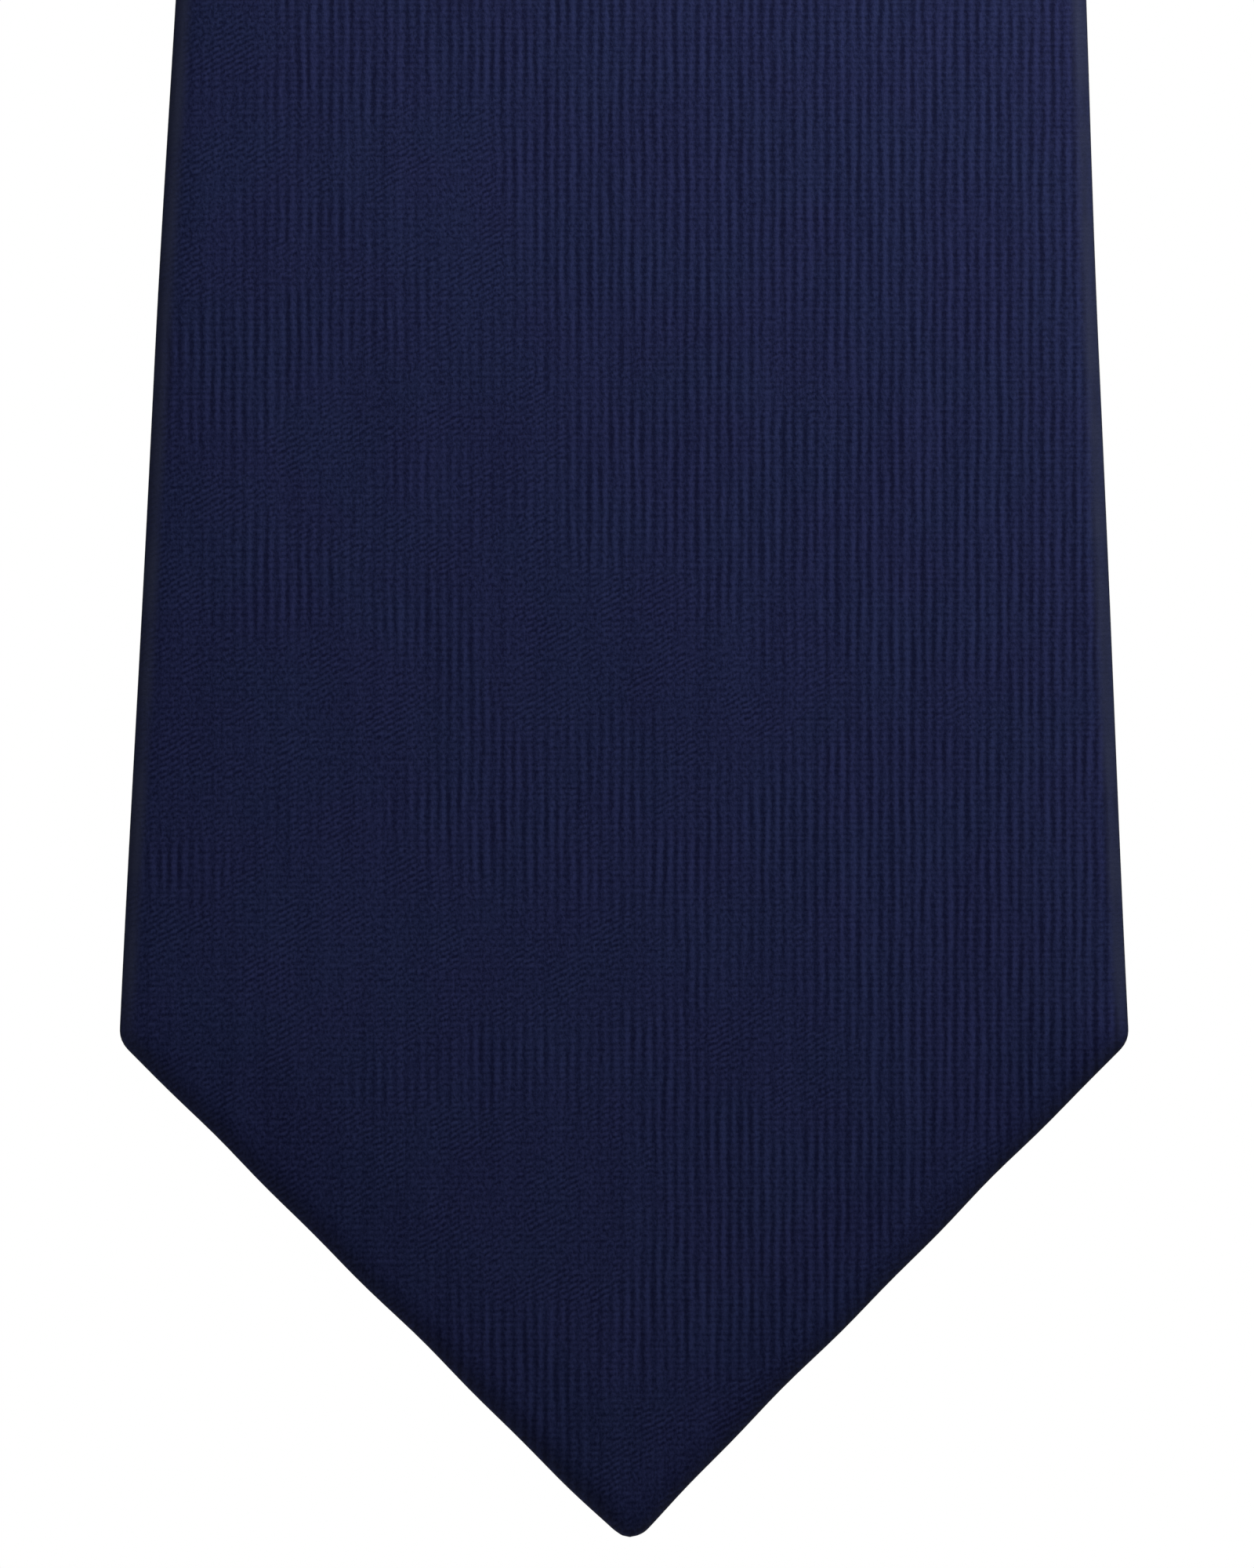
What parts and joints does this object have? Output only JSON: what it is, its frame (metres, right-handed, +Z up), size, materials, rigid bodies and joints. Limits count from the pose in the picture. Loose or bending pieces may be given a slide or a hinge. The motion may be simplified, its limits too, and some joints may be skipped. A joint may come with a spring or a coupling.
{
  "type": "necktie",
  "caption": "Pointed necktie of folded ribbed silk with interlining, tipping, keeper loop and blank labels, hung by its neck; both ends swing and fold.",
  "frame": {"origin": "inner face of the neck, where it rests on top of the rail that it hangs over", "axes": "+Z up; the wide front blade hangs at -Y with its good face to -Y, the tail at +Y; X across the width"},
  "size_m": [0.085, 0.039, 0.8076],
  "materials": {
    "silk": "navy ribbed silk, soft satin sheen",
    "tipping": "navy lining silk, smooth satin",
    "interlining": "undyed brushed wool, matt",
    "thread": "navy silk sewing thread",
    "label": "blank woven satin tape",
    "care_tape": "blank off-white printed-tape satin"
  },
  "bodies": {
    "neck": {"neck_shell_arch": "silk", "neck_interlining": "interlining", "slip_stitch_neck": "thread"},
    "front_upper": {"neck_shell_front_end": "silk", "front_piecing_seam": "thread", "front_shell_upper": "silk", "front_interlining_upper": "interlining", "slip_stitch_front_upper": "thread"},
    "front_lower": {"front_shell_lower": "silk", "front_interlining_lower": "interlining", "front_tipping": "tipping", "slip_stitch_front_lower": "thread", "front_bar_tack": "thread", "front_thread_loop": "thread", "keeper_loop": "silk", "keeper_tack_left": "thread", "keeper_tack_right": "thread", "maker_label": "label", "label_stitch_left": "thread", "label_stitch_right": "thread", "care_label_stitch": "thread"},
    "care_label": {"care_label": "care_tape"},
    "tail_upper": {"neck_shell_tail_end": "silk", "tail_piecing_seam": "thread", "tail_shell_upper": "silk", "tail_interlining_upper": "interlining", "slip_stitch_tail_upper": "thread"},
    "tail_lower": {"tail_shell_lower": "silk", "tail_interlining_lower": "interlining", "tail_tipping": "tipping", "slip_stitch_tail_lower": "thread", "tail_bar_tack": "thread", "tail_thread_loop": "thread"}
  },
  "joints": [
    {"name": "front_swing", "type": "hinge", "parent": "neck", "child": "front_upper", "pos_m": [0, -0.0195, -0.038], "axis": [-1, 0, 0], "range_deg": [0, 120]},
    {"name": "front_fold", "type": "hinge", "parent": "front_upper", "child": "front_lower", "pos_m": [0, -0.0195, -0.43], "axis": [-1, 0, 0], "range_deg": [0, 165]},
    {"name": "tail_swing", "type": "hinge", "parent": "neck", "child": "tail_upper", "pos_m": [0, 0.0195, -0.038], "axis": [1, 0, 0], "range_deg": [0, 90]},
    {"name": "tail_fold", "type": "hinge", "parent": "tail_upper", "child": "tail_lower", "pos_m": [0, 0.0195, -0.365], "axis": [1, 0, 0], "range_deg": [0, 165]},
    {"name": "care_label_flip", "type": "hinge", "parent": "front_lower", "child": "care_label", "pos_m": [0, -0.0155, -0.535], "axis": [1, 0, 0], "range_deg": [0, 135]}
  ]
}
